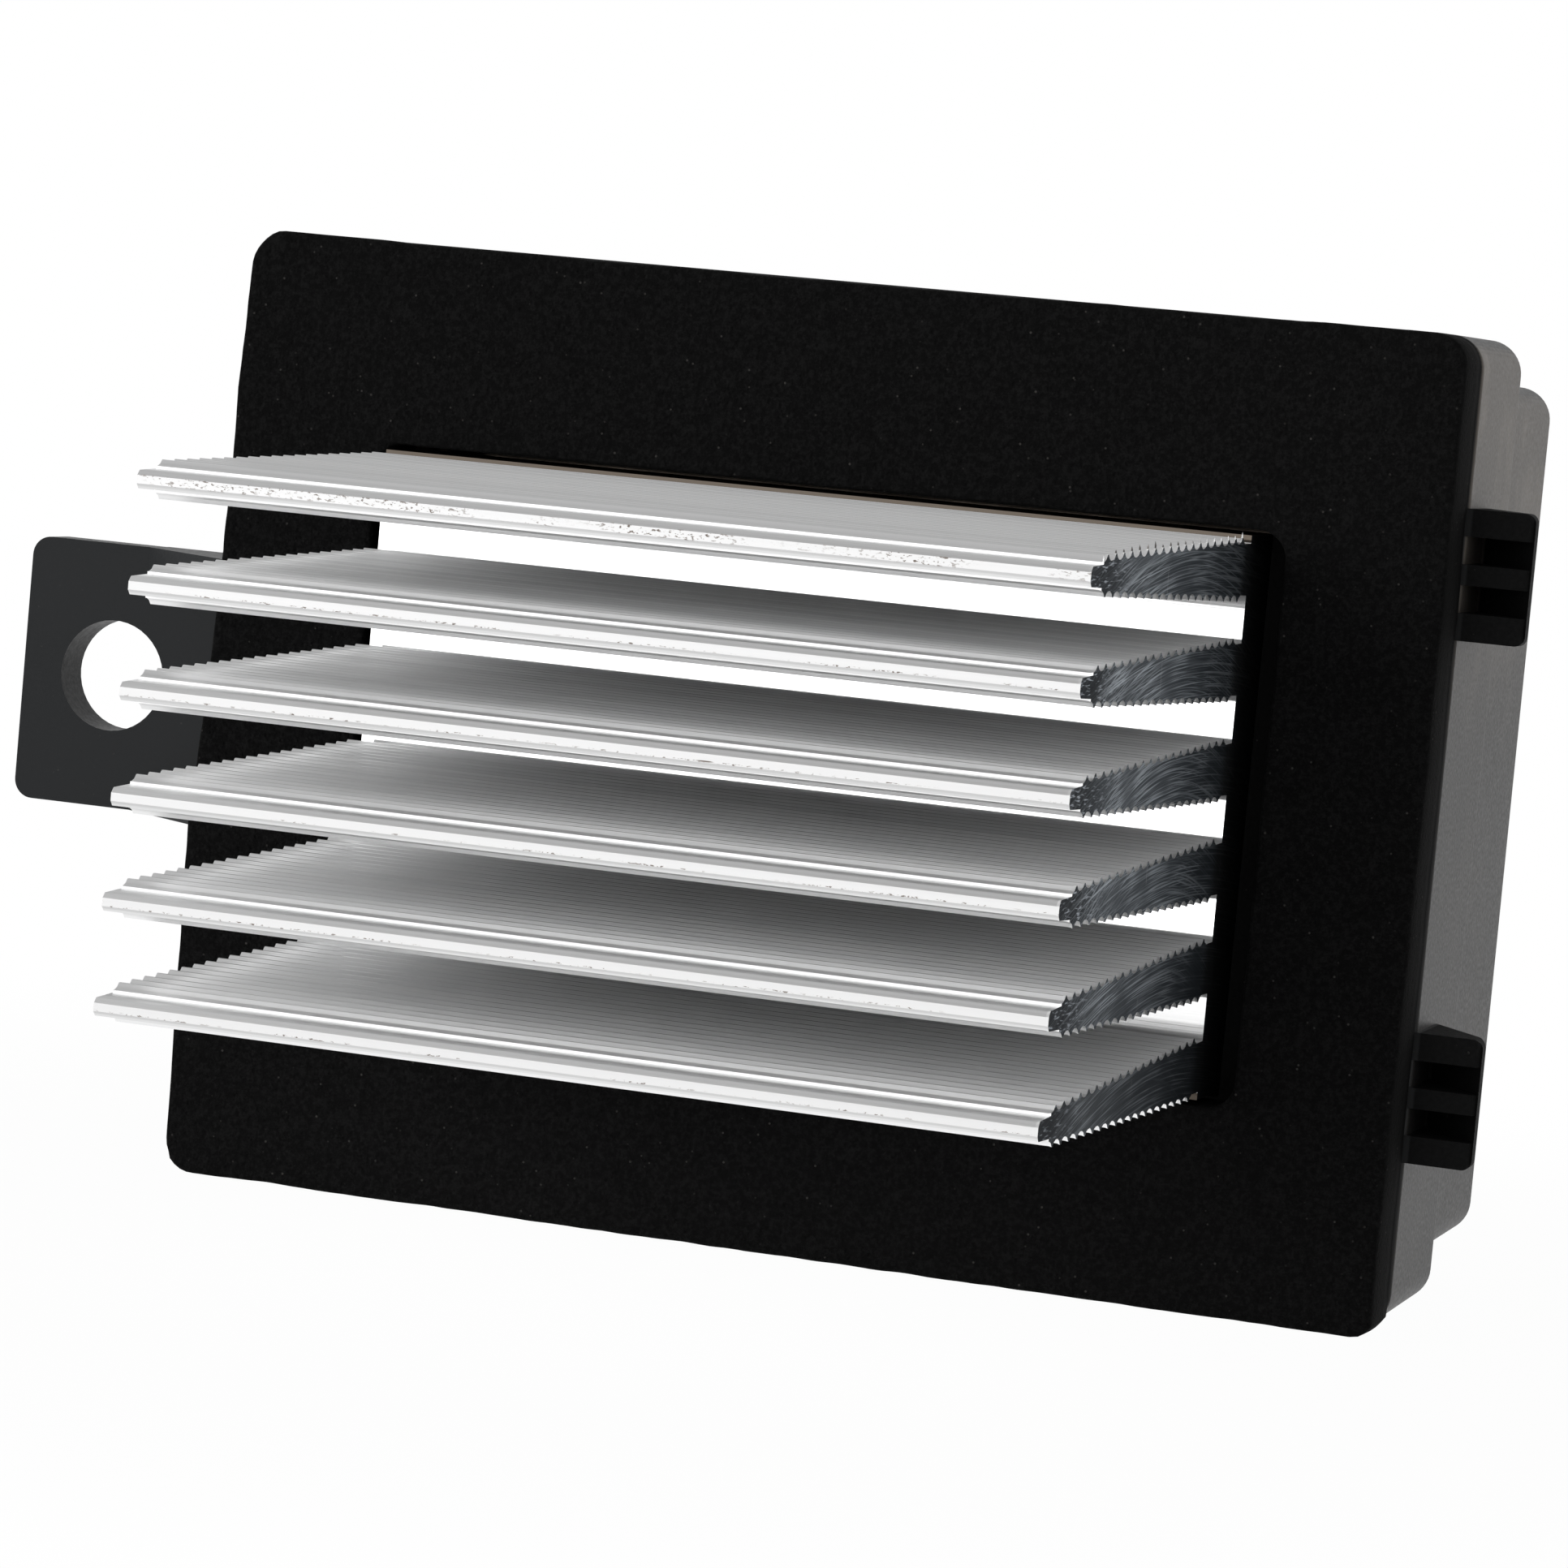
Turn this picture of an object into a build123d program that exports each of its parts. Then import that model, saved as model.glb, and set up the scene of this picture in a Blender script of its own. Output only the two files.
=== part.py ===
from build123d import *
import os

# Blower motor resistor: a linear speed regulator for a car heater fan.
# A finned heat sink stands through a foam-sealed frame into the air duct.
# The housing behind the frame holds the power transistors and their board.
# Millimetres. X runs along the fins, -Y points into the duct, +Z is up.
# The origin is the centre of the sealing face of the foam.

# Frame and sealing foam, both wider than the heat sink by a border
frame_corner = 2.0
inner_corner = 1.0
foam_thickness = 4.5
foam_left_gap = 0.8
foam_right_gap = 2.0
foam_window_gap = 0.35
foam_window_corner = 1.6
foam_side_border = 9.5
foam_top_border = 12.1

# Heat sink, one extrusion along X
sink_length = 53.2
fin_count = 6
fin_pitch = 5.74
fin_reach = 36.0
fin_root_half = 1.5
fin_neck_half = 0.72
nose_half = 0.5
nose_length = 2.4
nose_chamfer = 0.27
nose_shoulder = 0.16
ridge_pitch = 1.7
ridge_height = 0.34
ridge_foot = 1.3
ridge_waist = 0.62
ridge_waist_height = 0.12
ridge_top = 0.16
neck_margin = 0.45
base_clearance = 2.5
base_thickness = 4.0

# Housing moulding
front_wall = 4.0
side_wall = 2.0
collar_depth = 13.0
body_inset = 2.55
body_side_inset = 0.2
edge_round = 0.5
step_round = 1.0
rim_round = 0.3
window_clearance = 0.25

# Screw ear on the left
ear_reach = 18.0
ear_height = 16.7
ear_setback = 8.0
ear_thickness = 3.0
ear_corner = 1.2
ear_edge_round = 0.4
ear_hole_diameter = 7.0
ear_hole_inset = 6.1
gusset_thickness = 1.6
gusset_run = 10.0
gusset_start = 0.6

# Two locating lugs on the right
lug_reach = 3.9
lug_height = 7.6
lug_spacing = 30.3
lug_depth = 6.0
lug_tip_depth = 1.0
lug_outer_rib = 1.6
lug_middle_rib = 1.2
lug_web = 0.9
lug_corner = 0.3
lug_round = 0.6

# Rear cover and connector
cover_thickness = 2.5
lip_depth = 2.0
lip_gap = 0.2
lip_wall = 1.2
lip_clearance = 0.2
lip_corner = 0.5
socket_width = 34.0
socket_height = 16.0
socket_wall = 1.6
socket_length = 12.0
socket_corner = 1.6
socket_inner_corner = 0.8
socket_x = -4.0
latch_width = 7.0
latch_length = 5.0
latch_height = 1.5
key_width = 1.6
key_height = 1.2
key_offset = 9.0
blade_width = 6.3
blade_thickness = 0.8
blade_setback = 3.0
blade_spots = (-11.0, -4.2)
pin_size = 1.0
pin_spots = (3.6, 7.2, 10.8)
slot_clearance = 0.15

# Circuit board
board_headroom = 3.0
board_thickness = 1.6
board_clearance = 0.5
board_notch = 0.8
solder_stub = 0.6
hole_clearance = 0.2

# Posts and screws
boss_diameter = 7.0
boss_edge = 0.4
post_diameter = 5.5
post_gap = 1.45
small_shank = 2.2
small_head = 4.2
small_head_height = 1.5
small_length = 8.0
cover_head_sink = 1.2
sink_screw_shank = 3.0
sink_screw_head = 5.2
sink_screw_head_height = 1.9
sink_screw_grip = 3.2
sink_screw_x = 18.0
clamp_screw_grip = 3.0
bore_clearance = 0.05
recess_width = 0.7
recess_depth = 0.8
recess_share = 0.6
head_chamfer = 0.35

# Power stage
package_width = 15.9
package_height = 20.8
package_thickness = 5.0
package_spacing = 26.0
package_z = 1.6
tab_width = 13.4
tab_height = 16.6
tab_thickness = 2.0
pad_thickness = 0.3
pad_margin = 0.8
lead_pitch = 5.45
lead_width = 1.2
lead_thickness = 0.6
lead_drop = 3.0
clamp_overhang = 1.05
clamp_height = 8.0
clamp_thickness = 1.0
clamp_corner = 2.0

# Parts on the board
can_diameter = 6.3
can_clearance = 1.2
can_bead = 0.25
can_bead_setback = 2.2
can_lead = 0.6
can_lead_pitch = 2.5
shunt_width = 5.0
shunt_thickness = 1.0
shunt_span = 10.0
shunt_drop = 7.0
diode_diameter = 4.5
diode_length = 7.5
diode_lead = 1.0
diode_lead_run = 1.6
diode_edge = 7.1
sensor_diameter = 4.5
sensor_thickness = 1.6
sensor_edge = 4.7
sensor_lead_pitch = 2.5
sensor_lead = 0.5
chip_length = 8.7
chip_width = 4.0
chip_height = 1.5
chip_pins = 7
chip_pin_pitch = 1.27
chip_pin_width = 0.4
chip_pin_reach = 1.0
chip_pin_thickness = 0.25
chip_x = 12.0
chip_edge = 10.2
resistor_size = (3.2, 0.6, 1.6)
resistor_spots = ((-20.0, 8.7), (-20.0, 11.7), (-14.0, 8.7), (-14.0, 11.7), (20.5, 13.7), (20.5, 6.7))
ceramic_size = (2.0, 1.2, 1.25)
ceramic_spots = ((-8.0, 8.7), (-8.0, 11.7), (3.0, 8.7), (3.0, 11.7), (22.0, 10.2))

# Planes worked out from the sizes above
y_flange = foam_thickness
y_seat = y_flange + front_wall
y_base = y_seat + base_thickness
y_step = y_flange + collar_depth
package_front = y_base + pad_thickness
package_back = package_front + package_thickness
clamp_back = package_back + clamp_thickness
y_board = clamp_back + sink_screw_head_height + board_headroom
y_board_rear = y_board + board_thickness
y_rim = y_board_rear + lip_gap + lip_depth
y_back = y_rim + cover_thickness
y_mouth = y_back + socket_length
neck_half = (fin_count - 1) / 2 * fin_pitch + fin_root_half + neck_margin
sink_centre_x = (foam_left_gap - foam_right_gap) / 2
window_width = foam_left_gap + sink_length + foam_right_gap
window_height = 2 * (neck_half + foam_window_gap)
frame_width = window_width + 2 * foam_side_border
frame_height = window_height + 2 * foam_top_border
half_width = frame_width / 2
body_width = frame_width - 2 * body_side_inset
body_height = frame_height - 2 * body_inset
inner_width = body_width - 2 * side_wall
inner_height = body_height - 2 * side_wall
base_half = inner_height / 2 - base_clearance
boss_x = inner_width / 2 - boss_edge - boss_diameter / 2
boss_z = inner_height / 2 - boss_edge - boss_diameter / 2
post_z = boss_z - (boss_diameter + post_diameter) / 2 - post_gap
ear_hole_x = -half_width - ear_reach + ear_hole_inset
package_spots = (-package_spacing / 2, package_spacing / 2)
lead_y = package_front + package_thickness / 2
lead_z = package_z - package_height / 2 - lead_drop
corner_spots = [(sx * boss_x, sz * boss_z) for sx in (-1, 1) for sz in (-1, 1)]
post_spots = [(sx * boss_x, sz * post_z) for sx in (-1, 1) for sz in (-1, 1)]
sink_screw_z = (neck_half + base_half) / 2
sink_screw_spots = [(sink_centre_x + sx * sink_screw_x, sz * sink_screw_z)
                    for sx in (-1, 1) for sz in (-1, 1)]
can_z = (post_z - post_diameter / 2) / 2
can_spots = [(boss_x, sz * can_z) for sz in (1, -1)]
board_width = inner_width - 2 * board_clearance
board_height = inner_height - 2 * board_clearance
board_top = board_height / 2
diode_z = board_top - diode_edge
chip_z = board_top - chip_edge
sensor_z = sensor_edge - base_half
ridge_count = int((fin_reach - nose_length - nose_shoulder - ridge_foot) / ridge_pitch) + 1
diode_lead_spot = diode_length / 2 + diode_lead_run - diode_lead / 2


def across(sketch, y_front, y_back_face):
    """Extrude an XZ outline from one Y plane to another."""
    plane = Plane(origin=(0, y_back_face, 0), x_dir=(1, 0, 0), z_dir=(0, -1, 0))
    return extrude(plane * sketch, amount=y_back_face - y_front)


def block(x0, x1, y0, y1, z0, z1):
    """A plain box between three pairs of planes."""
    size = Box(x1 - x0, y1 - y0, z1 - z0)
    return Pos((x0 + x1) / 2, (y0 + y1) / 2, (z0 + z1) / 2) * size


def rod(x, z, diameter, y0, y1):
    """A round bar along Y."""
    return across(Pos(x, z) * Circle(diameter / 2), y0, y1)


def outline_xy(points, z0, z1):
    """Extrude an XY outline upwards."""
    return extrude(Pos(0, 0, z0) * make_face(Polyline(*points, close=True)), amount=z1 - z0)


# Heat sink
def fin_side(sign):
    """One flank of a fin from root to nose, as (y, offset) points with its ridges."""
    flank_end = -fin_reach + nose_length
    slope = (fin_root_half - fin_neck_half) / -flank_end

    def flank(y):
        return fin_root_half + slope * y

    first = flank_end + ridge_foot / 2 + nose_shoulder
    peaks = [first + i * ridge_pitch for i in range(ridge_count)]
    points = [(0.0, flank(0.0))]
    half_ridge = [(ridge_foot / 2, 0.0), (ridge_waist / 2, ridge_waist_height), (ridge_top / 2, ridge_height)]
    ridge = half_ridge + [(-reach, height) for reach, height in reversed(half_ridge)]
    for peak in reversed(peaks):
        points += [(peak + reach, flank(peak + reach) + height) for reach, height in ridge]
    points.append((flank_end, flank(flank_end)))
    points.append((flank_end, nose_half + nose_shoulder / 2))
    points.append((-fin_reach + nose_chamfer, nose_half))
    points.append((-fin_reach, nose_half - nose_chamfer))
    return [(y, sign * offset) for y, offset in points]


def sink_profile():
    """The closed YZ section: base, neck and six ridged fins."""
    points = [(y_base, base_half), (y_seat, base_half), (y_seat, neck_half), (0.0, neck_half)]
    for i in range(fin_count):
        z = ((fin_count - 1) / 2 - i) * fin_pitch
        upper = [(y, z + offset) for y, offset in fin_side(1)]
        lower = [(y, z + offset) for y, offset in reversed(fin_side(-1))]
        points += upper + lower
    points += [(0.0, -neck_half), (y_seat, -neck_half), (y_seat, -base_half), (y_base, -base_half)]
    return points


def heat_sink():
    start = sink_centre_x - sink_length / 2
    section = make_face(Polyline(*sink_profile(), close=True))
    end_plane = Plane(origin=(start, 0, 0), x_dir=(0, 1, 0), z_dir=(1, 0, 0))
    sink = extrude(end_plane * section, amount=sink_length)
    bore = sink_screw_shank + 2 * bore_clearance
    for x, z in sink_screw_spots:
        sink -= rod(x, z, bore, y_seat, y_base)
    sink -= rod(sink_centre_x, package_z, bore, y_base - clamp_screw_grip, y_base)
    return sink


# Foam seal
def foam_gasket():
    ring = RectangleRounded(frame_width, frame_height, frame_corner)
    ring -= RectangleRounded(window_width, window_height, foam_window_corner)
    return across(ring, 0, y_flange)


# Housing
def lug(z_centre):
    """Three ribs joined by a sloping web, standing out of the right side wall."""
    x0 = half_width - side_wall
    x1 = half_width + lug_reach
    y_tip = y_flange + lug_tip_depth
    y_root = y_flange + lug_depth
    rib_points = [(x0, y_flange), (x1 - lug_corner, y_flange), (x1, y_flange + lug_corner), (x1, y_tip),
                  (half_width, y_root), (x0, y_root)]
    web_points = [(x0, y_root - lug_web), (half_width, y_root - lug_web), (x1, y_tip - lug_web), (x1, y_tip),
                  (half_width, y_root), (x0, y_root)]
    low = z_centre - lug_height / 2
    high = z_centre + lug_height / 2
    shape = outline_xy(web_points, low, high)
    shape += outline_xy(rib_points, low, low + lug_outer_rib)
    shape += outline_xy(rib_points, high - lug_outer_rib, high)
    shape += outline_xy(rib_points, z_centre - lug_middle_rib / 2, z_centre + lug_middle_rib / 2)
    tip = shape.faces().sort_by(Axis.X)[-1]
    corners = tip.edges().filter_by(Axis.Y).sort_by(Axis.Z)
    return fillet([corners[0], corners[-1]], lug_round)


def ear():
    """The screw ear, set back from the front of the frame, with two gussets to it."""
    y_front = y_flange + ear_setback
    y_rear = y_front + ear_thickness
    inner = -half_width + side_wall
    outer = -half_width - ear_reach
    plate = Pos((inner + outer) / 2, 0) * RectangleRounded(inner - outer, ear_height, ear_corner)
    shape = across(plate, y_front, y_rear)
    for face in (shape.faces().sort_by(Axis.Y)[0], shape.faces().sort_by(Axis.Y)[-1]):
        shape = fillet(face.edges(), ear_edge_round)
    rib_points = [(inner, y_flange + gusset_start), (-half_width, y_flange + gusset_start),
                  (-half_width - gusset_run, y_front), (-half_width - gusset_run, y_rear), (inner, y_rear)]
    for side in (-1, 1):
        edge = side * ear_height / 2
        inward = edge - side * gusset_thickness
        shape += outline_xy(rib_points, min(edge, inward), max(edge, inward))
    return shape - rod(ear_hole_x, 0, ear_hole_diameter, y_front, y_rear)


def housing():
    collar = across(RectangleRounded(frame_width, frame_height, frame_corner), y_flange, y_step)
    collar = fillet(collar.faces().sort_by(Axis.Y)[-1].edges(), step_round)
    collar = fillet(collar.faces().sort_by(Axis.Y)[0].edges(), rim_round)
    body = across(RectangleRounded(body_width, body_height, frame_corner), y_step - step_round, y_rim)
    shell = collar + body + ear()
    for side in (-1, 1):
        shell += lug(side * lug_spacing / 2)
    shell -= across(RectangleRounded(inner_width, inner_height, inner_corner), y_seat, y_rim)
    for x, z in corner_spots:
        shell += rod(x, z, boss_diameter, y_seat, y_rim)
        shell -= rod(x, z, small_shank + 2 * bore_clearance, y_rim - small_length, y_rim)
    for x, z in post_spots:
        shell += rod(x, z, post_diameter, y_seat, y_board)
        shell -= rod(x, z, small_shank + 2 * bore_clearance, y_board - small_length, y_board)
    window = Pos(sink_centre_x, 0) * Rectangle(sink_length + 2 * window_clearance,
                                               2 * (neck_half + window_clearance))
    shell -= across(window, y_flange, y_seat)
    for x, z in sink_screw_spots:
        shell -= rod(x, z, sink_screw_shank + 2 * bore_clearance, y_seat - sink_screw_grip, y_seat)
    return shell


# Rear cover with the connector socket
def rear_cover():
    cover = across(RectangleRounded(body_width, body_height, frame_corner), y_rim, y_back)
    cover = fillet(cover.faces().sort_by(Axis.Y)[-1].edges(), step_round)
    lip_width = inner_width - 2 * lip_clearance
    lip_height = inner_height - 2 * lip_clearance
    lip = RectangleRounded(lip_width, lip_height, inner_corner)
    lip -= RectangleRounded(lip_width - 2 * lip_wall, lip_height - 2 * lip_wall, lip_corner)
    for x, z in corner_spots:
        lip -= Pos(x, z) * Circle(boss_diameter / 2 + lip_clearance)
        lip -= block_outline(x, z, boss_diameter / 2 + lip_clearance)
    cover += across(lip, y_rim - lip_depth, y_rim)
    shroud = Pos(socket_x, 0) * RectangleRounded(socket_width, socket_height, socket_corner)
    shroud -= Pos(socket_x, 0) * RectangleRounded(socket_width - 2 * socket_wall,
                                                  socket_height - 2 * socket_wall, socket_inner_corner)
    cover += across(shroud, y_back - edge_round, y_mouth)
    top = socket_height / 2
    latch_start = y_mouth - latch_length
    root = top - socket_wall / 2
    ramp = [(latch_start, root), (latch_start, top + latch_height),
            (y_mouth - latch_length / 2, top + latch_height), (y_mouth, top), (y_mouth, root)]
    latch_face = Plane(origin=(socket_x - latch_width / 2, 0, 0), x_dir=(0, 1, 0), z_dir=(1, 0, 0))
    cover += extrude(latch_face * make_face(Polyline(*ramp, close=True)), amount=latch_width)
    for side in (-1, 1):
        x = socket_x + side * key_offset
        cover += block(x - key_width / 2, x + key_width / 2, y_back - edge_round, y_mouth,
                       -top - key_height, -top + socket_wall / 2)
    for x, z in corner_spots:
        cover -= rod(x, z, small_head + 2 * hole_clearance, y_back - cover_head_sink, y_back)
        cover -= rod(x, z, small_shank + 2 * hole_clearance, y_rim - lip_depth, y_back)
    for x in blade_spots:
        cover -= across(Pos(socket_x + x, 0) * Rectangle(blade_thickness + 2 * slot_clearance,
                                                         blade_width + 2 * slot_clearance), y_rim, y_back)
    for x in pin_spots:
        cover -= across(Pos(socket_x + x, 0) * Rectangle(pin_size + 2 * slot_clearance,
                                                         pin_size + 2 * slot_clearance), y_rim, y_back)
    return cover


def block_outline(x, z, reach):
    """The square that frees a corner boss from the cover's lip."""
    sx = 1 if x > 0 else -1
    sz = 1 if z > 0 else -1
    return Pos(x + sx * reach, z + sz * reach) * Rectangle(2 * reach, 2 * reach)


# Terminals
def blade(spot):
    x = socket_x + spot
    return block(x - blade_thickness / 2, x + blade_thickness / 2, y_board - solder_stub,
                 y_mouth - blade_setback, -blade_width / 2, blade_width / 2)


def pin(spot):
    x = socket_x + spot
    return block(x - pin_size / 2, x + pin_size / 2, y_board - solder_stub,
                 y_mouth - blade_setback, -pin_size / 2, pin_size / 2)


# Screws, all with the head towards the rear
def screw(x, z, shank, head, head_height, y_under_head, grip):
    body = rod(x, z, shank, y_under_head - grip, y_under_head)
    cap = rod(x, z, head, y_under_head, y_under_head + head_height)
    cap = chamfer(cap.faces().sort_by(Axis.Y)[-1].edges(), head_chamfer)
    arm = head * recess_share
    cross = Pos(x, z) * Rectangle(arm, recess_width) + Pos(x, z) * Rectangle(recess_width, arm)
    y_top = y_under_head + head_height
    return body + cap - across(cross, y_top - recess_depth, y_top)


def cover_screws():
    seat = y_back - cover_head_sink
    grip = seat - y_rim + small_length - solder_stub
    return [screw(x, z, small_shank, small_head, small_head_height, seat, grip) for x, z in corner_spots]


def board_screws():
    grip = board_thickness + small_length - solder_stub
    return [screw(x, z, small_shank, small_head, small_head_height, y_board_rear, grip)
            for x, z in post_spots]


def heat_sink_screws():
    grip = base_thickness + sink_screw_grip - solder_stub
    return [screw(x, z, sink_screw_shank, sink_screw_head, sink_screw_head_height, y_base, grip)
            for x, z in sink_screw_spots]


def clamp_screw():
    grip = clamp_back - y_base + clamp_screw_grip - bore_clearance
    return screw(sink_centre_x, package_z, sink_screw_shank, sink_screw_head, sink_screw_head_height,
                 clamp_back, grip)


# Power stage
def package_x(spot):
    return sink_centre_x + spot


def thermal_pad(spot):
    x = package_x(spot)
    half_w = package_width / 2 + pad_margin
    half_h = package_height / 2 + pad_margin
    return block(x - half_w, x + half_w, y_base, package_front, package_z - half_h, package_z + half_h)


def power_transistor(spot):
    """The moulded package, open at the rear for its metal tab."""
    x = package_x(spot)
    body = block(x - package_width / 2, x + package_width / 2, package_front, package_back,
                 package_z - package_height / 2, package_z + package_height / 2)
    body = chamfer(body.faces().sort_by(Axis.Y)[-1].edges(), edge_round)
    return body - tab_plate(x)


def tab_plate(x):
    low = package_z - package_height / 2
    return block(x - tab_width / 2, x + tab_width / 2, package_front, package_front + tab_thickness,
                 low, low + tab_height)


def transistor_terminals(spot):
    """The metal tab of a package and its three bent leads."""
    x = package_x(spot)
    low = package_z - package_height / 2
    solids = [tab_plate(x)]
    for step in (-1, 0, 1):
        lead_x = x + step * lead_pitch
        left, right = lead_x - lead_width / 2, lead_x + lead_width / 2
        drop = block(left, right, lead_y - lead_thickness / 2, lead_y + lead_thickness / 2,
                     lead_z - lead_thickness / 2, low)
        run = block(left, right, lead_y - lead_thickness / 2, y_board_rear + solder_stub,
                    lead_z - lead_thickness / 2, lead_z + lead_thickness / 2)
        solids.append(drop + run)
    return solids


def clamp_bar():
    length = package_spacing + package_width + 2 * clamp_overhang
    bar = Pos(sink_centre_x, package_z) * RectangleRounded(length, clamp_height, clamp_corner)
    bar -= Pos(sink_centre_x, package_z) * Circle(sink_screw_shank / 2 + hole_clearance)
    return across(bar, package_back, clamp_back)


# Circuit board and what stands on it
def circuit_board():
    outline = Rectangle(board_width, board_height)
    reach = boss_diameter / 2 + board_notch
    for x, z in corner_spots:
        outline -= Pos(x, z) * Circle(reach)
        outline -= block_outline(x, z, reach)
    for x, z in post_spots:
        outline -= Pos(x, z) * Circle(small_shank / 2 + hole_clearance)
    for x, z, size_x, size_z in board_slots():
        outline -= Pos(x, z) * Rectangle(size_x + 2 * hole_clearance, size_z + 2 * hole_clearance)
    return across(outline, y_board, y_board_rear)


def board_slots():
    """Every place where metal passes through the board: x, z and its section."""
    slots = [(socket_x + x, 0, blade_thickness, blade_width) for x in blade_spots]
    slots += [(socket_x + x, 0, pin_size, pin_size) for x in pin_spots]
    for spot in package_spots:
        for step in (-1, 0, 1):
            slots.append((package_x(spot) + step * lead_pitch, lead_z, lead_width, lead_thickness))
    for x, z in can_spots:
        for side in (-1, 1):
            slots.append((x, z + side * can_lead_pitch / 2, can_lead, can_lead))
    for side in (-1, 1):
        slots.append((-boss_x, side * (shunt_span - shunt_thickness) / 2, shunt_width, shunt_thickness))
        slots.append((sink_centre_x + side * sensor_lead_pitch / 2, sensor_z, sensor_lead, sensor_lead))
        slots.append((sink_centre_x + side * diode_lead_spot, diode_z, diode_lead, diode_lead))
    return slots


def capacitor(x, z):
    """A can standing under the board with its rolled bead and two leads."""
    y_end = y_base + can_clearance
    can = rod(x, z, can_diameter, y_end, y_board)
    can = fillet(can.faces().sort_by(Axis.Y)[0].edges(), edge_round)
    bead = y_board - can_bead_setback
    ring = Circle(can_diameter / 2 + can_bead) - Circle(can_diameter / 2 - can_bead)
    can -= across(Pos(x, z) * ring, bead, bead + 2 * can_bead)
    solids = [can]
    for side in (-1, 1):
        solids.append(rod(x, z + side * can_lead_pitch / 2, can_lead, y_board, y_board_rear + solder_stub))
    return solids


def shunt_resistor():
    """A bent strip of resistance metal hanging under the board."""
    low, high = -shunt_span / 2, shunt_span / 2
    left, right = -boss_x - shunt_width / 2, -boss_x + shunt_width / 2
    bottom = y_board - shunt_drop
    shape = block(left, right, bottom, bottom + shunt_thickness, low, high)
    shape += block(left, right, bottom, y_board_rear + solder_stub, low, low + shunt_thickness)
    shape += block(left, right, bottom, y_board_rear + solder_stub, high - shunt_thickness, high)
    return shape


def protection_diode():
    """A round body lying along X under the board with two bent leads."""
    y_axis = y_board - diode_diameter / 2
    half = diode_lead / 2
    body = Rot(0, 90, 0) * Cylinder(diode_diameter / 2, diode_length)
    solids = [Pos(sink_centre_x, y_axis, diode_z) * body]
    for side in (-1, 1):
        face = sink_centre_x + side * diode_length / 2
        tip = face + side * diode_lead_run
        bend = tip - side * diode_lead
        run = block(min(face, tip), max(face, tip), y_axis - half, y_axis + half,
                    diode_z - half, diode_z + half)
        drop = block(min(bend, tip), max(bend, tip), y_axis - half, y_board_rear + solder_stub,
                     diode_z - half, diode_z + half)
        solids.append(run + drop)
    return solids


def temperature_sensor():
    """A disc on the heat sink base with two leads up to the board."""
    solids = [rod(sink_centre_x, sensor_z, sensor_diameter, y_base, y_base + sensor_thickness)]
    for side in (-1, 1):
        x = sink_centre_x + side * sensor_lead_pitch / 2
        solids.append(rod(x, sensor_z, sensor_lead, y_base + sensor_thickness, y_board_rear + solder_stub))
    return solids


def control_chip():
    """The driver chip on the rear of the board with its row of bent pins."""
    top = y_board_rear + chip_pin_thickness + chip_height
    solids = [block(chip_x - chip_length / 2, chip_x + chip_length / 2,
                    y_board_rear + chip_pin_thickness, top,
                    chip_z - chip_width / 2, chip_z + chip_width / 2)]
    for i in range(chip_pins):
        x = chip_x + (i - (chip_pins - 1) / 2) * chip_pin_pitch
        left, right = x - chip_pin_width / 2, x + chip_pin_width / 2
        for side in (-1, 1):
            face = chip_z + side * chip_width / 2
            tip = face + side * chip_pin_reach
            riser = face + side * chip_pin_thickness
            pin_solid = block(left, right, y_board_rear, y_board_rear + chip_pin_thickness,
                              min(face, tip), max(face, tip))
            pin_solid += block(left, right, y_board_rear, top - chip_height / 2,
                               min(face, riser), max(face, riser))
            solids.append(pin_solid)
    return solids


def board_chips(spots, size):
    """Small soldered blocks on the rear of the board, each spot an x and a distance from its upper edge."""
    length, height, width = size
    return [block(x - length / 2, x + length / 2, y_board_rear, y_board_rear + height,
                  board_top - edge - width / 2, board_top - edge + width / 2) for x, edge in spots]


def all_nodes():
    nodes = {
        "housing": housing(),
        "foam_gasket": foam_gasket(),
        "heat_sink": heat_sink(),
        "rear_cover": rear_cover(),
        "circuit_board": circuit_board(),
        "clamp_bar": clamp_bar(),
        "clamp_screw": clamp_screw(),
        "heat_sink_screws": heat_sink_screws(),
        "board_screws": board_screws(),
        "cover_screws": cover_screws(),
        "shunt_resistor": shunt_resistor(),
        "protection_diode": protection_diode(),
        "temperature_sensor": temperature_sensor(),
        "control_chip": control_chip(),
        "chip_resistors": board_chips(resistor_spots, resistor_size),
        "chip_capacitors": board_chips(ceramic_spots, ceramic_size),
    }
    for i, spot in enumerate(package_spots, 1):
        nodes[f"power_transistor_{i}"] = power_transistor(spot)
        nodes[f"transistor_terminals_{i}"] = transistor_terminals(spot)
        nodes[f"thermal_pad_{i}"] = thermal_pad(spot)
    for i, (x, z) in enumerate(can_spots, 1):
        nodes[f"capacitor_{i}"] = capacitor(x, z)
    for i, spot in enumerate(blade_spots, 1):
        nodes[f"power_blade_{i}"] = blade(spot)
    for i, spot in enumerate(pin_spots, 1):
        nodes[f"signal_pin_{i}"] = pin(spot)
    return nodes


def main():
    os.makedirs("parts", exist_ok=True)
    for name, shape in all_nodes().items():
        if isinstance(shape, list):
            shape = Compound(children=shape)
        export_step(shape, f"parts/{name}.step")


main()
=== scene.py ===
import math

import bmesh
import bpy
from mathutils import Matrix, Vector, noise


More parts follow.
